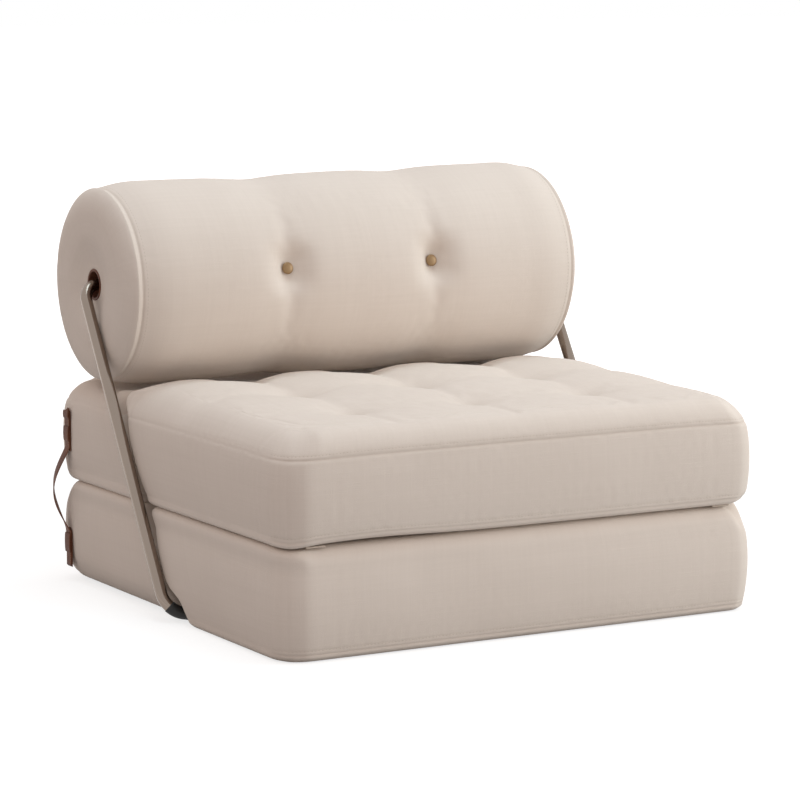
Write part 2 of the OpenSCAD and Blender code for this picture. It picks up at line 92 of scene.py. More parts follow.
camera_data = bpy.data.cameras.new("camera")
camera_data.sensor_width = SENSOR
camera_data.lens = focal_px / PHOTO * SENSOR
camera_data.shift_x = (PHOTO / 2 - centre_px[0]) / PHOTO
camera_data.shift_y = (centre_px[1] - PHOTO / 2) / PHOTO
bpy.context.scene.camera = add("camera", camera_data, right, up, back, aim + back * distance)
print("lens:", round(camera_data.lens, 1), "mm")

# %% [markdown]
# ## Shader maths as plain sums
#
# A material that is built node by node is hard to read. A small class can wrap a socket so that
# `a * b + 1` adds the Math nodes by itself. Everything else goes through one method, `node`,
# which makes a node of any type, sets it up and fills its sockets.

# %% Wires and finishes
class Wire:
    """An output socket. Sums, differences and products of wires add Math nodes."""

    def __init__(self, finish, socket):
        self.finish, self.socket = finish, socket

    def out(self, name):
        """Another output of the same node."""
        return Wire(self.finish, self.socket.node.outputs[name])

    def math(self, operation, *terms):
        return self.finish.node("Math", {"operation": operation}, dict(enumerate(terms)))

    def __add__(self, other): return self.math("ADD", self, other)
    def __sub__(self, other): return self.math("SUBTRACT", self, other)
    def __rsub__(self, other): return self.math("SUBTRACT", other, self)
    def __mul__(self, other): return self.math("MULTIPLY", self, other)
    def sine(self): return self.math("SINE", self)
    def size(self): return self.math("ABSOLUTE", self)
    def step(self, low, high):
        """0 below low, 1 above high, with a soft rise in between."""
        return self.finish.node("MapRange", {"interpolation_type": "SMOOTHSTEP"},
                                {"Value": self, "From Min": low, "From Max": high})
    __radd__, __rmul__ = __add__, __mul__


class Nodes:
    """The node tree of a material or world, with one method that adds any node."""

    def __init__(self, holder):
        holder.use_nodes = True
        self.tree = holder.node_tree

    def node(self, kind, settings=None, sockets=None, out=0):
        """Adds a node. Settings are set first, then sockets get values or links."""
        made = self.tree.nodes.new("ShaderNode" + kind)
        for key, value in (settings or {}).items():
            setattr(made, key, value)
        for key, value in (sockets or {}).items():
            if isinstance(value, Wire):
                self.tree.links.new(value.socket, made.inputs[key])
            else:
                made.inputs[key].default_value = value
        return Wire(self, made.outputs[out])

    def mix(self, share, first, second):
        """Colour between first and second."""
        return self.node("Mix", {"data_type": "RGBA"}, {0: share, 6: first, 7: second}, 2)

    def noise(self, where, scale, detail=2.0, rough=.5, stretch=None):
        """Noise from 0 to 1, stretched by a Mapping node where asked."""
        if stretch:
            where = self.node("Mapping", {}, {"Vector": where, "Scale": stretch})
        sockets = {"Vector": where, "Scale": scale, "Detail": detail, "Roughness": rough}
        return self.node("TexNoise", {}, sockets)

    def bump(self, height, strength, distance):
        return self.node("Bump", {}, {"Height": height, "Strength": strength, "Distance": distance})

    def seen(self):
        """1 for rays from the camera, or mirrored or bent on their way to it."""
        rays = self.node("LightPath")
        glossy = rays.math("MAXIMUM", rays.out("Is Glossy Ray"), rays.out("Is Transmission Ray"))
        return rays.math("MAXIMUM", rays, glossy)


class Finish(Nodes):
    """A material under construction. Constants go straight onto its shader's sockets."""

    def __init__(self, name, **constants):
        self.material = bpy.data.materials.new(name)
        super().__init__(self.material)
        self.shader = self.tree.nodes["Principled BSDF"]
        for socket, value in constants.items():
            self.shader.inputs[socket.replace("_", " ")].default_value = value

    def place(self):
        """The place on the object, in metres."""
        return self.node("TexCoord").out("Object")

    def feed(self, **wires):
        """Links wires to the shader's sockets and gives the finished material."""
        for name, wire in wires.items():
            self.tree.links.new(wire.socket, self.shader.inputs[name.replace("_", " ")])
        return self.material


def linear(red, green, blue):
    """A colour as seen on a screen, 0 to 255, as the linear colour that Blender uses."""
    screen = np.array([red, green, blue]) / 255
    return (*np.where(screen <= .04045, screen / 12.92, ((screen + .055) / 1.055) ** 2.4), 1.0)


def tint(colour, *shares):
    """A colour whose red, green and blue are multiplied by one share or by one each."""
    return (*np.minimum(1, np.array(colour[:3]) * shares), 1.0)


print("shader helpers ready")

# %% [markdown]
# ## Linen
#
# The covers are a heavy, cream linen weave. A picture of cloth would repeat and blur close up, so
# the weave is worked out instead: two sine waves decide which thread lies on top, long thin
# noise makes the thicker slubs that give linen its look, and broad noise lets the colour
# drift. The pattern runs on the cover's own UV map, which is in metres, so that threads turn
# round an edge with the cloth. A mark on the mesh, `fold`, paints a little shade into seams and tucks as a
# darker colour.

# %% Linen finish
THREAD = .0012                    # distance from one thread to the next


def linen(name, colour, coarse=1.0):
    """Woven linen. Height is that of the thread on top, and slubs are long streaks of noise."""
    f = Finish(name, Roughness=.86, Sheen_Weight=.12, Sheen_Roughness=.45, Specular_IOR_Level=.25)
    place = f.node("UVMap", {"uv_map": "Weave"})
    parts = f.node("SeparateXYZ", {}, {"Vector": place})
    warp, weft = parts * (np.pi / THREAD), parts.out("Y") * (np.pi / THREAD)
    over = (warp.sine() * weft.sine()).step(-.25, .25)
    height = over * warp.sine().size() + (1 - over) * weft.sine().size()
    slub_u = f.noise(place, 1.0, 3, .6, stretch=(14, 620, 1)).step(.52, .8)
    slub_v = f.noise(place, 1.0, 3, .6, stretch=(620, 14, 1)).step(.54, .82)
    drift = f.noise(place, 5.5, 3, .55)
    streak = (f.noise(place, 1.0, 2, .5, stretch=(3, 170, 1)) * .5
              + f.noise(place, 1.0, 2, .5, stretch=(170, 3, 1)) * .5)
    tone = (drift - .5) * .5 + (streak - .5) * .55 + slub_u * .13 + slub_v * .12 + (over - .5) * .08 + .5
    cloth = f.mix(tone, tint(colour, .9, .885, .865), tint(colour, 1.055))
    # painted shade: the fold mark mixes in a deeper colour at seam grooves, tuft pits and button pits, where
    # shade falls
    fold = f.node("Attribute", {"attribute_name": "fold"}).out("Fac")
    cloth = f.mix(fold * .22, cloth, tint(colour, .66, .6, .55))
    relief = height * .5 * coarse + slub_u * .8 + slub_v * .7
    return f.feed(Base_Color=cloth, Normal=f.bump(relief, .35, .0005), Roughness=.9 - tone * .08)


cream = linen("cream_linen", linear(228, 217, 207))
print("linen finish made")

# %% [markdown]
# ## Steel, leather and the small finishes
#
# The hoop is steel with a satin nickel plating. Brushing is fine noise stretched round the
# tube, and it varies the roughness more than the colour. The straps are dark brown leather:
# cell noise gives its grain, and broad noise its worn places.

# %% Rigid finishes
def satin_steel(name, colour, rough=.3):
    """Satin plating: brushing across the tube, and faint clouds of wear."""
    f = Finish(name, Metallic=1.0, Roughness=rough)
    place = f.place()
    brushed = f.noise(place, 1.0, 3, .6, stretch=(900, 120, 120))
    cloud = f.noise(place, 9.0, 4, .6)
    shade = f.mix(cloud * .6 + brushed * .4, tint(colour, .82), colour)
    return f.feed(Base_Color=shade, Roughness=brushed * .05 + cloud * .08 + (rough - .06),
                  Normal=f.bump(brushed, .02, .0001))


def leather(name, colour, worn):
    """Leather: cells of grain with fine creases, darker in the creases and paler where worn."""
    f = Finish(name, Roughness=.5, Specular_IOR_Level=.4)
    place = f.place()
    grain = f.node("TexVoronoi", {"feature": "DISTANCE_TO_EDGE"}, {"Vector": place, "Scale": 620.0})
    pores = grain.step(.0, .22)
    broad = f.noise(place, 28.0, 4, .6)
    edge = f.node("Attribute", {"attribute_name": "worn"}).out("Fac")
    hide = f.mix(pores * .7 + .3, tint(colour, .45), colour)
    hide = f.mix((broad.step(.45, .8) * .35 + edge * .5), hide, worn)
    return f.feed(Base_Color=hide, Roughness=.62 - pores * .14 + broad * .1,
                  Normal=f.bump(pores * .6 + broad * .8, .35, .0004))


def plain_finish(name, colour, rough, metallic=0.0, scale=160.0, relief=.0002, spread=.14, **constants):
    """A finish of one colour with fine uneven tone and relief, for the small pieces."""
    f = Finish(name, Metallic=metallic, **constants)
    place = f.place()
    fine, broad = f.noise(place, scale, 5, .6), f.noise(place, scale / 12, 3, .5)
    shade = f.mix(fine * .5 + broad * .5, tint(colour, 1 - spread), tint(colour, 1 + spread))
    return f.feed(Base_Color=shade, Roughness=fine * .16 + (rough - .08),
                  Normal=f.bump(fine * .6 + broad, .3, relief))


nickel = satin_steel("satin_nickel", linear(152, 138, 127), .18)
inner_steel = satin_steel("bare_steel", linear(188, 188, 190), .36)
brown_leather = leather("brown_leather", linear(104, 60, 40), linear(150, 96, 62))
bronze = plain_finish("bronze", linear(146, 116, 80), .42, metallic=.35, scale=420.0, relief=.00008)
rubber = plain_finish("black_rubber", linear(26, 24, 23), .6, scale=900.0)
board = plain_finish("wound_board", linear(186, 158, 124), .85, scale=300.0)
twine = plain_finish("twine", linear(226, 216, 200), .9, scale=1500.0, relief=.0003)
thread_finish = plain_finish("sewing_thread", linear(206, 194, 181), .8, scale=2400.0, relief=.0001)
leather_thread = plain_finish("leather_thread", linear(190, 150, 108), .75, scale=2400.0, relief=.0001)
print("rigid finishes made:", len(bpy.data.materials))

# %% [markdown]
# ## Skins from arrays
#
# Every new piece is a grid of points that a formula places, joined by quads. Two helpers are
# enough: `piece` puts arrays into a mesh with its UV map and marks, and `loft` joins rings
# of points into closed skins, many at a time, which also serves for rows of stitches.

# %% Mesh helpers
def volume(points, faces):
    """Signed volume: a sixth of the sum of each triangle's triple product, seen from 0."""
    total = 0.0
    for step in range(1, faces.shape[1] - 1):
        a, b, c = points[faces[:, 0]], points[faces[:, step]], points[faces[:, step + 1]]
        total += np.einsum("ij,ij->", a, np.cross(b, c)) / 6
    return total


def piece(name, points, faces, finish, uv=None, marks=None):
    """A mesh object from point and face arrays. Closed skins that came out inside out are turned.
    uv has a row for each point, or for each corner of each quad where the map is cut."""
    groups = faces if isinstance(faces, list) else [faces]
    if sum(volume(points, g) for g in groups) < 0:
        groups = [g[:, ::-1] for g in groups]
        uv = uv[:, ::-1] if uv is not None and uv.ndim == 3 else uv
    mesh = bpy.data.meshes.new(name)
    mesh.from_pydata(points.tolist(), [], [face for g in groups for face in g.tolist()])
    mesh.polygons.foreach_set("use_smooth", np.full(len(mesh.polygons), True))
    if uv is not None:
        spread = uv if uv.ndim == 3 else uv[np.concatenate([g.ravel() for g in groups])]
        weave = mesh.uv_layers.new(name="Weave").data
        weave.foreach_set("uv", np.ascontiguousarray(spread, np.float32).ravel())
    for mark, values in (marks or {}).items():
        data = mesh.attributes.new(mark, "FLOAT", "POINT").data
        data.foreach_set("value", np.asarray(values, np.float32))
    mesh.materials.append(finish)
    mesh.update()
    return add(name, mesh)


def loft(grid):
    """Faces of lofted skins. grid is (skins, rings, around, 3): quads join each ring to the next
    all the way round, and one face closes each end. Gives points and a list of face arrays."""
    skins, rings, around = grid.shape[:3]
    index = np.arange(skins * rings * around).reshape(skins, rings, around)
    near, far = index[:, :-1], index[:, 1:]
    quads = np.stack([near, np.roll(near, -1, 2), np.roll(far, -1, 2), far], -1).reshape(-1, 4)
    return grid.reshape(-1, 3), [quads, index[:, 0, ::-1], index[:, -1]]


def wrapped(rows, around):
    """Quads of a grid that closes both ways."""
    index = np.arange(rows * around).reshape(rows, around)
    ahead = np.roll(index, -1, 0)
    return np.stack([index, ahead, np.roll(ahead, -1, 1), np.roll(index, -1, 1)], -1).reshape(-1, 4)


def read(mesh, what="co"):
    """What each vertex of a mesh has, its place or its normal, as an array."""
    found = np.empty(len(mesh.vertices) * 3)
    mesh.vertices.foreach_get(what, found)
    return found.reshape(-1, 3)


def smooth(t):
    """Soft step: 3 t^2 - 2 t^3 between 0 and 1."""
    t = np.clip(t, 0, 1)
    return t * t * (3 - 2 * t)


def waves(places, size):
    """Slow unevenness: the mean of five crossing sine waves, 0.2 to 0.6 m long, times size."""
    ways = np.array([[11, 4, 19], [-8, 14, 9], [21, -9, -6], [6, 24, -15], [27, 13, 10]])
    return size * np.sin(places @ ways.T + np.array([.4, 2.1, 4.0, 5.3, 1.2])).mean(-1)


print("mesh helpers ready")

# %% [markdown]
# ## The stuffed blocks
#
# Each block is foam with wadding in a sewn cover. It is drawn as a skin of rings from the
# underside's rim to the top's rim, closed by a grid above and below. A point of the side
# has a place along the profile and a station round the plan. The profile is a quarter circle,
# a line and a quarter circle. The cover then swells between its seams and is drawn in at each.

# %% Places that the blocks share
boxes = {key: np.array(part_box(key + "_cover")) for key in ("lower_front", "lower_rear", "seat", "rear_seat")}
hinge, bar, axle = (np.array(joints[name]["pos_m"]) for name in ("seat_fold", "frame_tilt", "bolster_turn"))
HALF_W = boxes["lower_front"][1, 0]
FRONT, REAR = boxes["lower_front"][0, 1], boxes["lower_rear"][1, 1]
slope = (axle - bar)[1] / (axle - bar)[2]
lean_turn = np.arctan(slope)      # how far the hoop leans to the rear
GAP = .0135 * np.hypot(1, slope)  # half of the channel, measured level
SEAT_H = .178                     # height of the seat at its edge, under the crown
boxes["seat"][1, 2] = boxes["seat"][0, 2] + SEAT_H


def channel(z, side):
    """Y of the channel's face on one side at height z: a line that leans with the hoop."""
    return bar[1] + (z - bar[2]) * slope + side * GAP


print("mattress:", np.round([2 * HALF_W, REAR - FRONT], 3), "lean:", round(float(np.degrees(lean_turn)), 1))


# %% Side profile
SPACING = .0105                   # distance between two grid lines of a block
SEAM_RINGS = np.array([-.0075, -.0042, -.0018, 0, .0018, .0038, .0055, .0072, .0089, .0118])
STITCHED = .0072                  # the topstitching runs this far above a seam
SEAM_DEPTH = .0012                # depth of a seam's groove


def profile(z0, z1, e0, e1, seams, puff):
    """Side profile: place along it, height, which way out is (outwards and upwards), the swelling
    -puff * u^2 of the face, u from -1 to 1 over its height, the groove, which is a bell 2.2 mm
    wide at a seam and a smaller one at its stitching, and the numbers of the stitched rings."""
    arc0, line, arc1 = e0 * np.pi / 2, z1 - e1 - z0 - e0, e1 * np.pi / 2
    whole = arc0 + line + arc1
    seam_z = np.array(seams)
    lines = (e0 * np.arccos(np.clip(1 - (seam_z - z0) / e0, 0, 1)) + np.clip(seam_z - z0 - e0, 0, line)
             + e1 * np.arcsin(np.clip((seam_z - z1 + e1) / e1, 0, 1)))
    even = np.linspace(0, whole, round(whole / SPACING) + 1)
    clear = (np.abs(even[:, None] - lines - .002) > .0135).all(1)
    along = np.unique(np.concatenate([even[clear], (lines[:, None] + SEAM_RINGS).ravel(), [0, whole]])
                      .clip(0, whole).round(6))
    turn0, turn1 = np.clip(along / e0, 0, np.pi / 2), np.clip((along - arc0 - line) / e1, 0, np.pi / 2)
    out = np.where(along < arc0, np.sin(turn0), np.cos(turn1))
    rise = np.where(along < arc0, -np.cos(turn0), np.sin(turn1))
    height = z0 + e0 * (1 - np.cos(turn0)) + np.clip(along - arc0, 0, line) + e1 * np.sin(turn1)
    off = along[:, None] - lines
    seam, stitch = np.exp(-(off / .0022) ** 2).max(1), np.exp(-((off - STITCHED) / .0017) ** 2).max(1)
    bulge = 1 - np.clip(2 * (along - arc0) / line - 1, -1, 1) ** 2
    sewn = np.abs(off - STITCHED).argmin(0)
    return along, height, out, rise, puff * (bulge - 1), SEAM_DEPTH * seam + .0004 * stitch, sewn


def stations(length, radius, corner=8):
    """Grid lines across one direction: how far along the straight, -1 to 1, and how far round the
    corner, -1 to 0 at its start and 0 to 1 at its end."""
    straight = round((length - 2 * radius) / SPACING)
    run = np.arange(straight + 2 * corner + 1) - corner
    bend = np.where(run < 0, run / corner, np.where(run > straight, (run - straight) / corner, 0))
    return np.clip(2 * run / straight - 1, -1, 1), bend


# %% The seat's pillows
PITCH = .225                      # distance between two columns of tufts
ROWS = FRONT + np.array([.186, .376, .566])
TUFTS = np.array([(x, y) for x in (-PITCH, 0, PITCH) for y in ROWS])


def fall(x, y, reach):
    """Bell-shaped nearness to the closest tuft."""
    gap = np.hypot(x[..., None] - TUFTS[:, 0], y[..., None] - TUFTS[:, 1]).min(-1)
    return np.exp(-(gap / reach) ** 2)


def pillows(x, y, s, t, rise=.0215):
    """Height of the seat's top above its rim. s and t run from -1 to 1 across and to the rear. The
    crown is rise * (1 - s^8)^0.8, low at the front and full up to the rear edge. Valleys lie on
    the columns of tufts, as 1 - |sin|^0.8, and less deep between two rows. Each tuft is a pit."""
    s, t = np.clip(s, -1, 1), np.clip(t, -1, 1)
    crown = rise * (1 - s ** 8) ** .8 * (1 - np.minimum(t, 0) ** 10) * (.16 + .84 * smooth((t + 1) / 1.6))
    column = 1 - (np.sin(np.pi * x / PITCH) ** 2 + .004) ** .4
    row = np.exp(-((y[..., None] - ROWS) / .048) ** 2).max(-1)
    drawn = column * (.48 + .46 * row) + (1 - column) * .24 * row
    return crown * (1 - drawn) - .0055 * fall(x, y, .045) - .0080 * fall(x, y, .017)


def slump(points, z0, z1):
    """How the seat gives way at its front corners: the top by 4 mm within 90 mm of both, and the
    underside by 6 mm at the left one, where it rests on the layer below. Right of that corner the
    front edge stands 5 mm higher."""
    x, y, z = points.T
    both = np.exp(-((np.abs(x) - HALF_W) ** 2 + (y - FRONT) ** 2) / .09 ** 2)
    left = np.exp(-((x + HALF_W) ** 2 + (y - FRONT) ** 2) / .042 ** 2)
    arch = np.exp(-((x + .28) / .13) ** 2 - ((y - FRONT) / .05) ** 2) * (1 - left)
    above, below = smooth((z - z1 + .09) / .09), smooth((z0 + .05 - z) / .05)
    fallen = .004 * both * above + (.006 * left - .005 * arch) * below
    return points - fallen[:, None] * np.array([0, 0, 1])


def pressed(x, y, s, t):
    """The top of the rear block: a hollow 10 mm deep where the bolster rests along y = its axle."""
    return -.0105 * np.exp(-((y - axle[1]) / .06) ** 2) * (1 - smooth((np.abs(x) - .39) / .06))


# %% Block skin
PLAN_R = (.068, .052)             # plan radius of the outer corners, left and right
CHANNEL_R = (.037, .008)          # plan radius beside the channel, at the floor and higher up
GROW = (.004, .014)               # how much larger the outer corners' radius gets below and above
LIFT = .003                       # how far the upper edge gives way there
BELLY = .016                      # how far the foam leans into the channel near the sides


def block(z0, z1, e0, e1, side, seams, puff, flank, tight=(.018, .018), corner=(.024, .052),
          firm=(0, 0), top=None):
    """Arrays of one block. side is -1 where the channel bounds the rear and 1 where it bounds the
    front. An edge of radius e insets the skin by e - sqrt(e^2 - d^2), d past its start. The radius
    is that of flank along the sides, of tight beside the channel, of at least 3/4 of flank where
    those meet, and of corner in the outer corners, each below and above. The left corner keeps to
    the edges' radius where firm is 1. Plan corners are squares of stations pressed into quarters
    of |u|^2.5 + |v|^2.5 = 1, which bend softly where they start. top gives the lid's height."""
    along, height, out, rise, swollen, groove, sewn = profile(z0, z1, e0, e1, seams, puff)
    near = (lambda z: np.full_like(z, FRONT)) if side < 0 else (lambda z: channel(z, 1))
    far = (lambda z: channel(z, -1)) if side < 0 else (lambda z: np.full_like(z, REAR))
    sx, bx = stations(2 * HALF_W, .05)
    sy, by = stations(float(far(z1) - near(z1)), .05)
    nx, ny = len(sx) - 1, len(sy) - 1
    meet = [max(t, .75 * f) for t, f in zip(tight, flank)]

    def cornered(i, j, facing):
        return smooth(np.minimum(np.abs(bx[i]), np.abs(by[j]))) * (facing * side * by[j] > 0)

    def soft(i, j, hold=0):
        return cornered(i, j, 1) * (1 - hold * (bx[i] < 0))

    def inset(i, j, z):
        flanks, inner = smooth(np.abs(bx[i])), smooth(np.abs(by[j])) * (side * by[j] < 0)
        low, high = ((e + (f - e) * flanks) * (1 - inner) + (t + (m - t) * flanks) * inner
                     for e, f, t, m in zip((e0, e1), flank, tight, meet))
        low, high = (e + (c - e) * soft(i, j, hold) for e, c, hold in zip((low, high), corner, firm))
        below, above = np.clip(z0 + low - z, 0, low), np.clip(z - z1 + high, 0, high)
        return low - np.sqrt(low ** 2 - below ** 2) + high - np.sqrt(high ** 2 - above ** 2)

    def plan(i, j, drawn, z, drawn_y=None):
        drawn_y = drawn if drawn_y is None else drawn_y
        inner_r = CHANNEL_R[1] + (CHANNEL_R[0] - CHANNEL_R[1]) * smooth((.052 - z) / .012)
        outer_r = (PLAN_R[0] + (PLAN_R[1] - PLAN_R[0]) * smooth(sx[i] / 2 + .5)
                   + GROW[0] * smooth((z0 - z) / corner[0] + 1)
                   + GROW[1] * smooth((z - z1) / corner[1] + 1) * (1 - firm[1] * (bx[i] < 0)))
        r0, r1 = (outer_r, inner_r) if side < 0 else (inner_r, outer_r)
        rx, ry = (np.maximum(.004, r0 + (r1 - r0) * (sy[j] + 1) / 2 - d) for d in (drawn, drawn_y))
        u, v = bx[i] * np.sqrt(1 - by[j] ** 2 / 2), by[j] * np.sqrt(1 - bx[i] ** 2 / 2)
        fuller = np.hypot(u, v) / (np.abs(u) ** 2.5 + np.abs(v) ** 2.5 + 1e-12) ** .4
        x = sx[i] * (HALF_W - drawn - rx) + rx * u * fuller
        half = (far(z) - near(z)) / 2 - drawn_y - ry
        y = (far(z) + near(z)) / 2 + sy[j] * half + ry * v * fuller
        if side < 0:              # the belly starts 42 mm up at the ends, and 90 mm up in the middle
            ends = smooth((np.abs(x) - .335) / .06)
            lean = ends * smooth((z - .042) / .03) + .5 * (1 - ends) * smooth((z - .09) / .03)
            y = y + BELLY * lean * (1 - .4 * smooth((z - .28) / .05)) * smooth(sy[j] / 2 + .5) ** 2
        return x, y

    def lid_height(x, y):
        return top(x, y, x / HALF_W, (2 * y - far(z1) - near(z1)) / (far(z1) - near(z1)))

    walk_i = np.concatenate([np.arange(nx), np.full(ny, nx), np.arange(nx, 0, -1), np.zeros(ny, int)])
    walk_j = np.concatenate([np.zeros(nx, int), np.arange(ny), np.full(nx, ny), np.arange(ny, 0, -1)])
    around, rings = len(walk_i), len(along)
    i, j, level = walk_i[None], walk_j[None], height[:, None]
    gathered = soft(i, j)
    edge0, edge1 = np.clip((z0 + e0 - level) / e0, 0, 1), np.clip((level - z1 + e1) / e1, 0, 1)
    # the cloth gathers in small upright folds at the outer corners
    folds = np.cos(3.5 * np.pi * (np.abs(bx[i]) - np.abs(by[j]))) * gathered
    gather = folds * (.0005 + .0010 * np.sin(np.pi * (edge0 + edge1))) * (1 - edge0) * (1 - edge1)
    # seams hardly show on the sides
    fade = 1 - .85 * smooth(np.abs(bx[i])) * (1 - smooth(np.abs(by[j])))
    sunk = groove[:, None] * fade
    drawn = inset(i, j, level) - out[:, None] * (swollen[:, None] - sunk) - gather
    z = level - rise[:, None] * sunk - LIFT * gathered * edge1
    x, y = plan(i, j, drawn, z)
    drawn = drawn - waves(np.stack([x, y, z], -1), .0016) * (1 - np.maximum(edge0, edge1))
    x, y = plan(i, j, drawn, z)
    if top:
        z = z + lid_height(x, y) * smooth(edge1)
    sides = np.stack([x, y, z], -1)

    gi, gj = (g.T for g in np.meshgrid(np.arange(1, nx), np.arange(1, ny)))
    lids = []
    for upper, ring, e in ((0, 0, e0), (1, rings - 1, e1)):
        level = height[ring] - upper * LIFT * soft(gi, gj)
        wall_e = e + (tight[upper] - e) * (1 - side * sy[gj]) / 2
        rim_x, rim_y = (r + (corner[upper] - r) * soft(gi, gj, firm[upper])
                        + (meet[upper] - r) * cornered(gi, gj, -1) for r in (flank[upper], wall_e))
        gx, gy = plan(gi, gj, rim_x, level, rim_y)
        if upper and top:
            level = level + lid_height(gx, gy)
        lids.append(np.stack([gx, gy, level], -1))
    points = np.concatenate([sides.reshape(-1, 3), lids[1].reshape(-1, 3), lids[0].reshape(-1, 3)])
    if top is pillows:
        points = slump(points, z0, z1)

    index = np.arange(rings * around).reshape(rings, around)
    low, high = index[:-1], index[1:]
    wall = np.stack([low, np.roll(low, -1, 1), np.roll(high, -1, 1), high], -1).reshape(-1, 4)
    tops = []
    for ring, start in ((rings - 1, rings * around), (0, rings * around + gi.size)):
        cells = np.empty((nx + 1, ny + 1), int)
        cells[walk_i, walk_j] = index[ring]
        cells[1:nx, 1:ny] = start + np.arange(gi.size).reshape(gi.shape)
        quad = np.stack([cells[:-1, :-1], cells[1:, :-1], cells[1:, 1:], cells[:-1, 1:]], -1).reshape(-1, 4)
        tops.append(quad if ring else quad[:, ::-1])

    steps = np.linalg.norm(np.diff(sides[rings // 2], axis=0, append=sides[rings // 2][:1]), axis=1)
    round_u = np.concatenate([[0], np.cumsum(steps)])
    corner_u = np.stack([round_u[:-1], round_u[1:], round_u[1:], round_u[:-1]], -1)
    wall_u = np.broadcast_to(corner_u, (rings - 1, around, 4)).reshape(-1, 4)
    wall_v = np.repeat(np.stack([along[:-1], along[:-1], along[1:], along[1:]], -1), around, 0)
    uv = np.concatenate([np.stack([wall_u, wall_v], -1)] + [points[quad][..., :2] + 2 for quad in tops])
    # seam (groove depth) and tucks (nearness to the seat's tufts) hold the cloth, and set where painted shade
    # darkens the linen
    seam = np.zeros(len(points))
    seam[:rings * around] = (sunk / SEAM_DEPTH).ravel()
    # stitches run round the outer face alone
    start = -(ny // 2) if side < 0 else nx + ny - ny // 2
    outer_face = np.arange(start, start + nx + 2 * (ny // 2)) % around
    outer_face = outer_face[fade[0, outer_face] > .4]
    tucks = fall(points[:, 0], points[:, 1], .012) * (points[:, 2] > z1 - .03) if top is pillows else 0 * seam
    return {"points": points, "faces": np.concatenate([wall] + tops), "uv": uv.reshape(-1, 4, 2),
            "seam": seam, "tucks": tucks, "sewn": index[sewn][:, outer_face],
            "lid": (rings * around, rings * around + gi.size), "foot": z0}


SHOULDER = .3215                  # height of the seam under the padded shoulder of the upper layer
shapes = {
    "lower_front": dict(e0=.016, e1=.034, side=-1, seams=(.012,), puff=.006, flank=(.014, .016),
                        tight=(.016, .016), corner=(.016, .052), firm=(0, 1)),
    "lower_rear": dict(e0=.026, e1=.034, side=1, seams=(.012,), puff=.005, flank=(.045, .016),
                       corner=(.048, .052)),
    "seat": dict(e0=.015, e1=.040, side=-1, seams=(boxes["seat"][0, 2] + .010, SHOULDER), puff=.005,
                 flank=(.010, .052), tight=(.012, .024), firm=(1, 0), top=pillows),
    "rear_seat": dict(e0=.022, e1=.036, side=1, seams=(boxes["rear_seat"][0, 2] + .012, SHOULDER), puff=.005,
                      flank=(.012, .052), top=pressed),
}
blocks = {key: block(*boxes[key][:, 2], **shape) for key, shape in shapes.items()}
for key, b in blocks.items():
    print(key, "points:", len(b["points"]), "size:", np.round(np.ptp(b["points"], axis=0), 3))

# %% [markdown]
# ## The bolster
#
# The bolster is a tube of cloth with a crowned disc sewn into each end. It turns on the hoop, so a
# bore runs through it. One closed loop of places, along the outside, over an end, through the
# bore and back, is carried round the axle. Two buttons draw pits into the front. Each
# pit is a bell with a flat floor under the button, and a narrower, longer bell makes the
# crease above and below it.

# %% Bolster outline
RADIUS, SEAM_X, BUTTON_X = .175, .423, .143
BESIDE = .0075                    # the topstitching runs this far from a seam
BUTTON_TURN = np.radians(170)     # where the buttons are, as an angle about the axle
CORE = float(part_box("core_tube")[1][0]) + .0005
HOLE, BORE = .0254, .0164
PIT = -.0045                      # what the outline adds at the floor of a pit, where the button lies


def bolster_outline():
    """Half of the loop in the x and radius plane, from the outer middle to the bore's middle. The
    end is crowned, with x by the sine and r by the cosine of a quarter turn, and hollow inside."""
    near = np.array([-BESIDE, -.004, -.0018, 0, .0018, .004, BESIDE]) + SEAM_X
    x = np.concatenate([np.linspace(0, SEAM_X - .017, 45), near])
    r = RADIUS - .0075 * np.clip((x - .34) / (SEAM_X - .34), 0, 1) ** 2.2
    turn = np.linspace(0, np.pi / 2, 12)[1:]
    cap_x, cap_r = SEAM_X + .004 + .0250 * np.sin(turn), .1 + .0665 * np.cos(turn) ** .95
    in_r = np.linspace(.092, .0285, 8)
    in_x = SEAM_X + .0290 - .0125 * smooth((.1 - in_r) / .07)
    hole_x, hole_r = np.linspace(in_x[-1] - .001, CORE, 5), np.full(5, HOLE)
    bore_x, bore_r = np.linspace(CORE - .0004, 0, 12), np.full(12, BORE)
    return (np.concatenate([x, cap_x, in_x, hole_x, bore_x]),
            np.concatenate([r, cap_r, in_r, hole_r, bore_r]), len(x))


def dimple(x, turn, depth=.021):
    """How far the surface falls at each button: depth * (.74 * pit + .26 * crease). Both are bells
    exp(-(a / w)^2 - (b / h)^2) of the gaps a along x and b round the axle past a flat middle."""
    side = np.abs(x) - BUTTON_X
    arc = ((turn - BUTTON_TURN + np.pi) % (2 * np.pi) - np.pi) * RADIUS
    past = lambda gap, flat: np.maximum(0, np.abs(gap) - flat)
    pit = np.exp(-(past(side, .012) / .024) ** 2 - (past(arc, .012) / .028) ** 2)
    crease = np.exp(-(past(side, .004) / .011) ** 2 - (past(arc, .012) / .072) ** 2)
    return depth * (.74 * pit + .26 * crease)


def girth(x):
    """What the outline adds: the stuffing swells more to the right, while each button draws a
    waist, which is a bell 55 mm wide."""
    waist = .0055 * np.exp(-((np.abs(x) - BUTTON_X) / .055) ** 2)
    return -.0013 + .0053 * smooth((x + .25) / .45) + .002 * smooth((x - .33) / .06) - waist


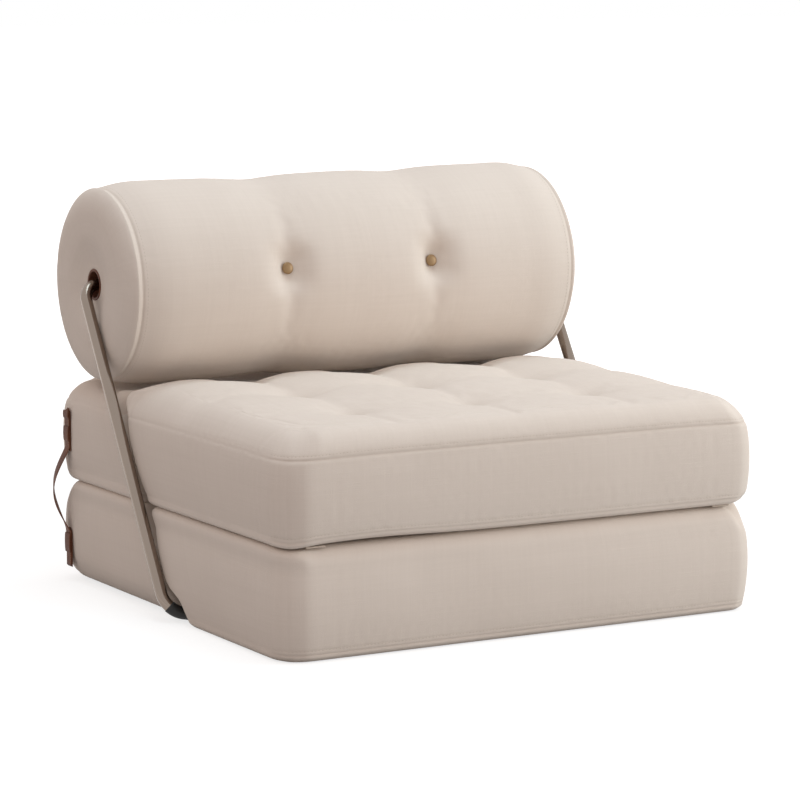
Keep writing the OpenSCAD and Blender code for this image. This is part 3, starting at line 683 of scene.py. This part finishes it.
half_x, half_r, outside = bolster_outline()
loop_x = np.concatenate([half_x, -half_x[-2:0:-1]])
loop_r = np.concatenate([half_r, half_r[-2:0:-1]])
place = np.concatenate([np.arange(len(half_x)), np.arange(len(half_x) - 2, 0, -1)])
outer = place < outside           # the tube of cloth between the end seams
crown = place < outside + 9       # with most of each crowned end
hollow = place >= outside + 12    # the ends' hollows and the bore
TURNS = 128
turns = np.arange(TURNS) * 2 * np.pi / TURNS
X, T = np.meshgrid(loop_x, turns, indexing="ij")
from_seam = np.abs(np.abs(loop_x) - SEAM_X) * crown + ~crown
# the cover swells 3 mm between the seams and is drawn in 1.4 mm on them
swell_out = .003 * (1 - np.exp(-(from_seam / .03) ** 2)) - .0014 * np.exp(-(from_seam / .0024) ** 2) - .0012
swell_out = (swell_out + girth(loop_x))[:, None] * np.ones(TURNS)
pits = dimple(X, T)
swell_out += (PIT - swell_out) * smooth((pits - .010) / .010)
R = loop_r[:, None] + (swell_out - pits) * outer[:, None]
RISE = .002 * smooth((X - .05) / .3) * smooth((R - .03) / .1)     # the right half is stuffed higher
bolster_points = np.stack([X, axle[1] + R * np.cos(T), axle[2] + R * np.sin(T) + RISE], -1)
steps = np.hypot(np.diff(loop_x, append=loop_x[:1]), np.diff(loop_r, append=loop_r[:1]))
run_u, run_v = np.concatenate([[0], np.cumsum(steps)]), np.arange(TURNS + 1) * 2 * np.pi / TURNS * RADIUS
grid_u, grid_v = np.meshgrid(np.arange(len(loop_x)), np.arange(TURNS), indexing="ij")
bolster_uv = np.stack([np.stack([run_u[grid_u + a], run_v[grid_v + b]], -1)
                       for a, b in ((0, 0), (1, 0), (1, 1), (0, 1))], 2).reshape(-1, 4, 2)
# painted shade for the bolster: the fold mark is strongest in the end seams and the button pits, where shade
# falls
bolster_painted_shade = np.maximum(.6 * np.exp(-(from_seam / .003) ** 2)[:, None] * outer[:, None],
                          .5 * smooth((pits - .012) / .009) * outer[:, None])
print("bolster points:", X.size, "loop:", len(loop_x))

# %% [markdown]
# ## Letting the covers swell
#
# Real covers are never as even as a formula. Sculpting could roughen them, but Blender's Cloth
# gives folds where the sewing makes them. Every cover swells under a little pressure and has a
# little more cloth than its foam. It is held fully at its seams, tufts, buttons and where it
# rests, half on the sides and front corners, and weakly elsewhere, as foam does. No point may
# move further than the cap, and the result is written back to the mesh, so that no Cloth is
# left on it.

# %% Cloth helper
def swell(jobs, pressure, frames=20):
    """Runs Cloth on several pieces at once, given with how firmly each point is held, the cap of
    the moves and the spare share of cloth. A move of length d becomes cap * tanh(d / cap)."""
    for thing, held, cap, slack in jobs:
        group = thing.vertex_groups.new(name="held")
        levels = np.round(held * 20).astype(int)
        for level in np.unique(levels):
            group.add(np.flatnonzero(levels == level).tolist(), level / 20, "REPLACE")
        cloth = thing.modifiers.new("cloth", "CLOTH")
        wanted = {"quality": 5, "mass": .25, "air_damping": 3, "tension_stiffness": 18,
                  "compression_stiffness": 18, "shear_stiffness": 8, "bending_stiffness": .4,
                  "use_pressure": True, "uniform_pressure_force": pressure, "shrink_min": -slack,
                  "vertex_group_mass": "held", "pin_stiffness": 1}
        for key, value in wanted.items():
            setattr(cloth.settings, key, value)
        cloth.settings.effector_weights.gravity = 0
        cloth.collision_settings.use_collision = False
        cloth.point_cache.frame_start, cloth.point_cache.frame_end = 1, frames
    for number in range(1, frames + 1):
        bpy.context.scene.frame_set(number)
    view = bpy.context.evaluated_depsgraph_get()
    for thing, held, cap, slack in jobs:
        before = read(thing.data)
        move = read(thing.evaluated_get(view).data) - before
        far = np.linalg.norm(move, axis=1, keepdims=True) + 1e-9
        thing.modifiers.clear()
        thing.vertex_groups.clear()
        thing.data.vertices.foreach_set("co", (before + move * cap * np.tanh(far / cap) / far).ravel())
        print(thing.name, "moved up to", round(float(far.max()) * 1000, 1), "mm, typically",
              round(float(np.median(far)) * 1000, 1))
    bpy.context.scene.frame_set(1)


def ease(inside, k=.0008):
    """A distance inside a limit, kept above 0: (d + sqrt(d^2 + 4 k^2)) / 2."""
    return (inside + np.sqrt(inside ** 2 + 4 * k ** 2)) / 2


def refined(made):
    """Replaces the mesh by its own once-subdivided surface. Its first vertices keep their order."""
    modifier = made.modifiers.new("subdivision", "SUBSURF")
    modifier.levels = modifier.render_levels = 1
    mesh = bpy.data.meshes.new_from_object(made.evaluated_get(bpy.context.evaluated_depsgraph_get()))
    made.modifiers.clear()
    made.data = mesh
    mesh.name = made.name
    return made


# %% Make and swell the five covers
# the fold mark carries the painted shade of each cover: its seam grooves and, on the seat, the tuft pits
covers = {key: piece(key + "_cushion", b["points"], b["faces"], cream, b["uv"],
                     {"fold": np.maximum(b["seam"], b["tucks"])}) for key, b in blocks.items()}
covers["bolster"] = piece("bolster_cushion", bolster_points.reshape(-1, 3), wrapped(*X.shape), cream,
                          bolster_uv, {"fold": bolster_painted_shade.ravel()})

FOAM = .2                         # how strongly foam holds the cloth that lies on it
CAP = {"lower_front": .005, "lower_rear": .005, "seat": .007, "rear_seat": .005, "bolster": .007}
SLACK = {"lower_front": .003, "lower_rear": .004, "seat": .005, "rear_seat": .005, "bolster": .003}
holds = {}
for key, b in blocks.items():
    x, y, height = b["points"].T
    top_lid, low_lid = b["lid"]
    held = np.maximum(FOAM, np.maximum(smooth(b["seam"] * 1.4), np.sqrt(b["tucks"])))
    held[:top_lid] = np.maximum(held[:top_lid], .5)     # the sides, which are glued to the foam
    held[low_lid:] = 1                                  # the underside, and then the edge round it
    held = np.maximum(held, 1 - smooth((height - b["foot"]) / .014))
    held = np.maximum(held, np.exp(-(np.hypot(np.abs(x) - HALF_W, y - FRONT) / .09) ** 4))
    if key != "seat":             # something rests on every top but the seat's
        held[top_lid:low_lid] = 1
        held = np.maximum(held, smooth((height - height.max() + .012) / .010))
    holds[key] = held
held = np.maximum(np.exp(-(from_seam / .003) ** 2)[:, None], smooth((pits - .015) / .004)) * outer[:, None]
held[hollow] = 1
holds["bolster"] = np.maximum(held, 1.5 * FOAM).ravel()

swell([(cover, holds[key], CAP[key], SLACK[key]) for key, cover in covers.items()], pressure=1.4)
SPARE = .0004                     # how far the covers may stand out past the CAD blocks' sides
for key, cover in covers.items():
    places = read(cover.data)
    places[:, 0] = np.sign(places[:, 0]) * (HALF_W + SPARE - ease(HALF_W + SPARE - np.abs(places[:, 0])))
    if key in ("lower_front", "seat"):
        places[:, 1] = FRONT - .0006 + ease(places[:, 1] - FRONT + .0006)
    cover.data.vertices.foreach_set("co", places.ravel())
    refined(cover)
print("cover faces:", {key: len(cover.data.polygons) for key, cover in covers.items()})

# %% [markdown]
# ## Stitches
#
# Seams are drawn in by real thread. A row of topstitches runs a finger's breadth beside each
# seam. A texture could paint them, but small skins catch the light as thread does.
# A row follows a ring of the finished cover, so it lies on the cloth wherever that went.

# %% Sewing
def stitches(path, normals, pitch=.0062, length=.0042, thick=.0009, closed=True, lift=.0001):
    """A row of stitches along a path. Each is a spindle of five six-sided rings, whose ends dip in:
    centre + tangent * a * length / 2 + normal * (lift - dip * a^2), for a from -1 to 1."""
    if closed:
        path, normals = np.vstack([path, path[:1]]), np.vstack([normals, normals[:1]])
    arc = np.concatenate([[0], np.cumsum(np.linalg.norm(np.diff(path, axis=0), axis=1))])
    count = int(arc[-1] / pitch)
    at = (np.arange(count) + .5) * arc[-1] / count
    follow = lambda values, where: np.stack([np.interp(where, arc, values[:, k]) for k in range(3)], -1)
    centre, normal = follow(path, at), follow(normals, at)
    tangent = follow(path, np.minimum(at + .002, arc[-1])) - follow(path, np.maximum(at - .002, 0))
    tangent /= np.linalg.norm(tangent, axis=1, keepdims=True)
    normal -= tangent * np.sum(normal * tangent, 1, keepdims=True)
    normal /= np.linalg.norm(normal, axis=1, keepdims=True)
    side = np.cross(tangent, normal)
    a = np.array([-1, -.7, 0, .7, 1])
    radius = np.array([.25, .8, 1, .8, .25]) * thick / 2
    ring = np.arange(6) * np.pi / 3
    return (centre[:, None, None] + tangent[:, None, None] * (a * length / 2)[:, None, None]
            + normal[:, None, None] * (lift - thick * .7 * a ** 2)[:, None, None]
            + side[:, None, None] * (radius[:, None] * np.cos(ring))[..., None]
            + normal[:, None, None] * (radius[:, None] * np.sin(ring))[..., None])


def sew(name, rows, finish):
    """One object for several rows of stitches."""
    points, faces = loft(np.concatenate(rows))
    return piece(name, points, faces, finish)


beside = [int(np.argmin(np.abs(loop_x - side * (SEAM_X - BESIDE)) + (~outer))) for side in (-1, 1)]
sewn = {**{key: b["sewn"] for key, b in blocks.items()}, "bolster": np.arange(X.size).reshape(X.shape)[beside]}
seam_rows = {}
for key, cover in covers.items():
    places, outward = read(cover.data), read(cover.data, "normal")
    seam_rows[key] = sew(key + "_topstitch", [stitches(places[ring], outward[ring], closed=key == "bolster")
                                              for ring in sewn[key]], thread_finish)
print("stitches:", {key: len(row.data.vertices) // 30 for key, row in seam_rows.items()})

# %% [markdown]
# ## Leather straps
#
# A strap beside each rear corner ties the upper layer to the lower one, and stands out between
# them as a handle that twists a little to the rear. Its path gives, for each height, how far it
# stands off the block's side, how far it lies to the rear and how it turns. The section is a
# rounded bar. The ends are sewn to a backing, under thick keepers.

# %% Bands on the side
STRAP_Y, STRAP_W, STRAP_T = REAR - .068, .019, .0022
STRAP_ON, MEET, LEAVE, LOW_END, TOP_END = .0018, .088, .240, .028, .306


def band(side, path, width, thick, dome=0.0, around=28):
    """A leather band. path has rows of height, distance out, distance to the rear and turn. Section
    points run round a rounded bar: across is cos to the power .3 and lift is sin to the power .6,
    with their signs. A point lies at path + across * rearward + lift * outward, both turned."""
    height, out, rear, turn = path.T[..., None]
    climb, grow = np.gradient(height, axis=0), np.gradient(out, axis=0)
    length = np.hypot(climb, grow)
    angle = np.arange(around) * 2 * np.pi / around
    across = width / 2 * np.sign(np.cos(angle)) * np.abs(np.cos(angle)) ** .3
    full = thick + dome * np.sin(np.pi * np.linspace(0, 1, len(path)))[:, None] ** .5
    lift = full / 2 * (1 + np.sign(np.sin(angle)) * np.abs(np.sin(angle)) ** .6)
    x = HALF_W + out + lift * climb / length * np.cos(turn) + across * np.sin(turn)
    y = STRAP_Y + rear - lift * climb / length * np.sin(turn) + across * np.cos(turn)
    return np.stack([side * x, y, height - lift * grow / length], -1)[None]


def straight(low, high, out, count=14):
    """A path straight up the block's side, at one distance from it."""
    return np.stack([np.linspace(low, high, count), np.full(count, out), np.zeros(count), np.zeros(count)], -1)


def rounded(path, width):
    """Widths along a path whose upper end is a half circle: sqrt(1 - u^2), u from its centre."""
    u = np.clip((path[:, 0] - path[:, 0].max() + width / 2) / (width / 2), 0, .97)
    return width * np.sqrt(1 - u ** 2)[:, None]


t = np.linspace(0, 1, 49)
bow = .027 * np.sin(np.pi * t) ** 1.2
aim_out, aim_rear = np.cos(np.pi / 4), np.sin(np.pi / 4)
free = np.stack([MEET + (LEAVE - MEET) * t, STRAP_ON + bow * aim_out, bow * aim_rear,
                 -np.radians(24) * (np.sin(np.pi * t) + np.sin(2 * np.pi * t) / 2)], -1)
strap_path = np.concatenate([straight(LOW_END, MEET, STRAP_ON, 9)[:-1], free,
                             straight(LEAVE, TOP_END, STRAP_ON, 24)[1:]])


def leather_piece(name, grid, worn_edge):
    """A lofted leather skin, marked as worn along its two edges."""
    points, faces = loft(grid)
    around = grid.shape[2]
    edge = np.abs(np.cos(np.arange(around) * 2 * np.pi / around)) ** 6 * worn_edge
    return piece(name, points, faces, brown_leather, marks={"worn": np.tile(edge, len(points) // around)})


backings = [straight(LOW_END - .002, MEET + .008, .0003), straight(LEAVE - .008, TOP_END + .002, .0003)]
keepers = [straight(z, z + high, STRAP_ON + STRAP_T + .0003)
           for z, high in ((MEET - .036, .034), (LEAVE + .010, .026), (TOP_END - .016, .014))]
leather_pieces = {}
for side, word in ((-1, "left"), (1, "right")):
    grids = {
        "strap_": [band(side, strap_path, rounded(strap_path, STRAP_W), STRAP_T)],
        "strap_backing_": [band(side, line, rounded(line, STRAP_W + .002), .0012) for line in backings],
        "strap_keepers_": [band(side, line, STRAP_W + .002, .0014, .0014) for line in keepers],
    }
    for start, bands in grids.items():
        leather_pieces[start + word] = leather_piece(start + word + "_leather", np.concatenate(bands),
                                                     .3 if start == "strap_keepers_" else .5)
print("leather pieces:", len(leather_pieces))

# %% Strap stitching
strap_seams = {}
for side, word in ((-1, "left"), (1, "right")):
    rows = []
    for low, high in ((LOW_END + .004, MEET - .002), (LEAVE + .002, TOP_END - .010)):
        for across in (-.0072, .0072):
            line = np.stack([np.full(20, side * (HALF_W + STRAP_ON + STRAP_T)), np.full(20, STRAP_Y + across),
                             np.linspace(low, high, 20)], -1)
            rows.append(stitches(line, np.tile([side, 0.0, 0.0], (20, 1)), .0038, .0026, .0007, closed=False))
    strap_seams[word] = sew("strap_stitching_" + word, rows, leather_thread)
print("strap seams:", list(strap_seams))

# %% [markdown]
# ## Tabs and pocket
#
# Two fabric tabs at the front hold the layers together and are the hinge on which the seat folds
# forward. A cord in their fold gives them a round edge. Inside the channel, a fabric pocket hangs
# between the blocks and holds the hoop's floor bar. All are flat cloth with a real thickness.

# %% Fabric tabs and bar pocket
lining = linen("lining_linen", linear(206, 192, 178), coarse=1.2)


def ribbon(centre, width, thick, around=12):
    """A band of cloth that is wide along x and follows centre, an array of (y, z) places."""
    along = np.gradient(centre, axis=0)
    along /= np.linalg.norm(along, axis=1, keepdims=True)
    normal = np.stack([-along[:, 1], along[:, 0]], -1)
    angle = np.arange(around) * 2 * np.pi / around
    x = width / 2 * np.sign(np.cos(angle)) * np.abs(np.cos(angle)) ** .12
    lift = thick / 2 * np.sign(np.sin(angle)) * np.abs(np.sin(angle)) ** .5
    yz = centre[:, None] + normal[:, None] * lift[None, :, None]
    return np.concatenate([np.broadcast_to(x[None, :, None], yz.shape[:2] + (1,)), yz], -1)[None]


def cloth_piece(name, grid, finish):
    """A lofted piece of cloth. Its weave runs across it along x, and along the line it follows."""
    points, faces = loft(grid)
    middle = grid.mean(2)
    steps = np.linalg.norm(np.diff(middle, axis=1, prepend=middle[:, :1]), axis=2)
    along = np.broadcast_to(np.cumsum(steps, 1)[:, :, None], grid.shape[:3])
    return piece(name, points, faces, finish, np.stack([grid[..., 0], along], -1).reshape(-1, 2))


tab_x, tab_w = HALF_W - .050 - .017, .034
curl = np.radians(np.linspace(-50, 262, 15))
fold_y = hinge[1] + .018          # the fold of the tabs hides between the layers
lower_line = np.concatenate([np.stack([np.linspace(hinge[1] + .070, fold_y + .004, 9), np.full(9, .1807)], -1),
                             np.stack([fold_y + .0012 * np.cos(np.radians(270) - curl[:12]),
                                       hinge[2] + .0012 * np.sin(np.radians(270) - curl[:12])], -1)])
upper_line = np.stack([np.linspace(fold_y + .0022, hinge[1] + .070, 12), np.full(12, .1818)], -1)
tabs_lower, tabs_upper = (
    cloth_piece(name, np.concatenate([ribbon(line, tab_w, .0007) + np.array([side * tab_x, 0, 0])
                                      for side in (-1, 1)]), lining)
    for name, line in (("front_tabs_lower", lower_line), ("front_tabs_upper", upper_line)))

pocket_w = np.ptp(np.array(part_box("bar_pocket"))[:, 0])
turn = np.radians(np.linspace(180, 360, 13))
reach, half = .0124, .080
u_line = np.concatenate([np.stack([np.full(9, -reach), np.linspace(half, .006, 9)], -1),
                         reach * np.stack([np.cos(turn), np.sin(turn)], -1),
                         np.stack([np.full(9, reach), np.linspace(.006, half, 9)], -1)])
hung = np.stack([bar[1] + u_line[:, 0] * np.cos(lean_turn) + u_line[:, 1] * np.sin(lean_turn),
                 bar[2] - u_line[:, 0] * np.sin(lean_turn) + u_line[:, 1] * np.cos(lean_turn)], -1)
pocket = cloth_piece("bar_pocket_cloth", ribbon(hung, pocket_w, .0008), lining)
print("cloth pieces:", tabs_lower.name, tabs_upper.name, pocket.name)

# %% [markdown]
# ## Rubber sleeves
#
# The hoop stands on two rubber sleeves. They grip the floor bar and, thinner, the start of each
# bend, which looks black from outside. A sleeve is a closed skin: its outer surface follows
# the hoop's centre line, which is an arc and a straight line in the hoop's leaning plane, and
# turns back along the tube.

# %% Floor sleeves
TUBE, BEND = .010, .040
LEG_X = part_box("frame_hoop")[1][0] - TUBE


def sleeve(name, side):
    """Places are centre + r * (sideways * cos + across the plane * sin), out along one radius and
    back along the other."""
    inner_end = np.abs(np.array(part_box("floor_sleeve_" + name))[:, 0]).min()
    bend = np.radians(np.linspace(52, 0, 14))
    x = np.concatenate([LEG_X - BEND + BEND * np.sin(bend), np.linspace(LEG_X - BEND - .002, inner_end, 14)])
    climb = np.concatenate([BEND - BEND * np.cos(bend), np.zeros(14)])
    turn = np.concatenate([bend, np.zeros(14)])
    outer = .0107 + .0023 * smooth((LEG_X - BEND + .006 - x) / .010)
    x, climb, turn = (np.concatenate([values, values[::-1]]) for values in (x, climb, turn))
    r = np.concatenate([outer, np.full(28, TUBE + .00008)])[:, None]
    angle = np.arange(28) * 2 * np.pi / 28
    x = x[:, None] - r * np.cos(angle) * np.sin(turn)[:, None]
    climb = climb[:, None] + r * np.cos(angle) * np.cos(turn)[:, None]
    across = r * np.sin(angle)
    grid = np.stack([side * x, bar[1] + climb * np.sin(lean_turn) + across * np.cos(lean_turn),
                     bar[2] + climb * np.cos(lean_turn) - across * np.sin(lean_turn)], -1)
    return piece(name + "_rubber_sleeve", grid.reshape(-1, 3), wrapped(*x.shape), rubber)


sleeves = {name: sleeve(name, side) for side, name in ((-1, "left"), (1, "right"))}
print("sleeve points:", {name: len(made.data.vertices) for name, made in sleeves.items()})

# %% [markdown]
# ## The pieces that stay as they are
#
# The hoop, the cross tube and the buttons are rigid, and their CAD shape is right. They only
# get a finish.

# %% Finish the carried-over solids
kept = {"frame_hoop": nickel, "cross_tube": inner_steel, "set_screws": inner_steel,
        "core_tube": board, "hole_liner_left": brown_leather, "hole_liner_right": brown_leather,
        "bolster_button_left": bronze, "bolster_button_right": bronze, "button_ties": twine}
for node_name, finish in kept.items():
    node = frame["nodes"][node_name]
    node.data.materials.clear()
    node.data.materials.append(finish)
print("solids with a new finish:", len(kept))

# %% [markdown]
# ## Joining looks to the moving frame
#
# Each new piece rides on the CAD body it belongs to, and the solids it stands for are hidden.

# %% Ride and replace
def join(made, body, slot, *nodes):
    """The piece rides on a body and stands for some solids; its slot is not used."""
    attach(made, body)
    if nodes:
        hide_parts(*nodes)


for key, cover in covers.items():
    body = key if key in ("seat", "bolster") else "base"
    join(cover, body, "linen_fabric", key + "_cover", key + "_foam")
    .8 if key == "bolster" else .9
    join(seam_rows[key], body, "twine")
for node_name, made in leather_pieces.items():
    join(made, "base", "brown_leather", node_name)
for made in strap_seams.values():
    join(made, "base", "twine")
for name, made in sleeves.items():
    join(made, "frame", "black_rubber", "floor_sleeve_" + name)
join(tabs_lower, "base", "lining_fabric", "hinge_tabs_lower")
join(tabs_upper, "seat", "lining_fabric", "hinge_tabs_upper")
join(pocket, "base", "lining_fabric", "bar_pocket")

# %% [markdown]
# ## Floor and light
#
# The sofa stands on a plain floor under soft light. Each place of a surface adds up the light
# of all lamps, so each lamp was rendered alone once, and the strengths were solved for that
# bring the tones of the covers closest to the photograph's. A low panel at the right lights the
# front and the bolster, one overhead the tops. The world fills in from all round, a little warmer.
# To the camera the floor and the world are white, and the floor keeps the sofa's shadow.

# %% Floor
floor_mesh = bpy.data.meshes.new("floor")
corners = [(x, y, -.0005) for x, y in ((-40, -40), (40, -40), (40, 40), (-40, 40))]
floor_mesh.from_pydata(corners, [], [(0, 1, 2, 3)])
white = Finish("floor_white", Base_Color=(.42, .42, .42, 1), Roughness=.9, Specular_IOR_Level=0)
lit = Wire(white, white.shader.outputs[0])
apart = white.node("VectorMath", {"operation": "LENGTH"}, {0: white.place()}, 1)
glow = white.node("Emission", {}, {"Color": (1, 1, 1, 1), "Strength": .72 + .34 * apart.step(1.2, 4)})
bright = white.node("AddShader", {}, {0: glow, 1: lit})
shown = white.node("MixShader", {}, {0: white.seen(), 1: lit, 2: bright})
white.tree.links.new(shown.socket, white.tree.nodes["Material Output"].inputs["Surface"])
floor_mesh.materials.append(white.material)
add("floor", floor_mesh)


# %% Lights and world
def panel(name, turn, climb, watts, colour, size=2.4, distance=4.2, target=(0, 0, .3)):
    """A soft square light that faces the sofa, turn degrees to the right of the front and climb
    degrees up."""
    data = bpy.data.lights.new(name, "AREA")
    data.size, data.energy, data.color = size, watts, colour
    turn, climb = np.radians([turn, climb])
    away = np.array([np.sin(turn) * np.cos(climb), -np.cos(turn) * np.cos(climb), np.sin(climb)])
    side = np.cross([0, 0, 1], away) / np.cos(climb)
    add(name, data, side, np.cross(away, side), away, away * distance + np.array(target))


panel("low_right", 60, 12, 83, (.92, 1, 1.01))
panel("overhead", 0, 88, 55, (.72, .97, 1.1))
world = bpy.data.worlds.new("studio")
bpy.context.scene.world = world
studio = Nodes(world)
background = studio.tree.nodes["Background"]
FILL = (.68, .60, .57, 1)         # light from all round, while the camera sees a white of 1
colour = studio.mix(studio.seen(), FILL, (1, 1, 1, 1))
studio.tree.links.new(colour.socket, background.inputs["Color"])
bpy.context.scene.view_settings.view_transform = "Standard"
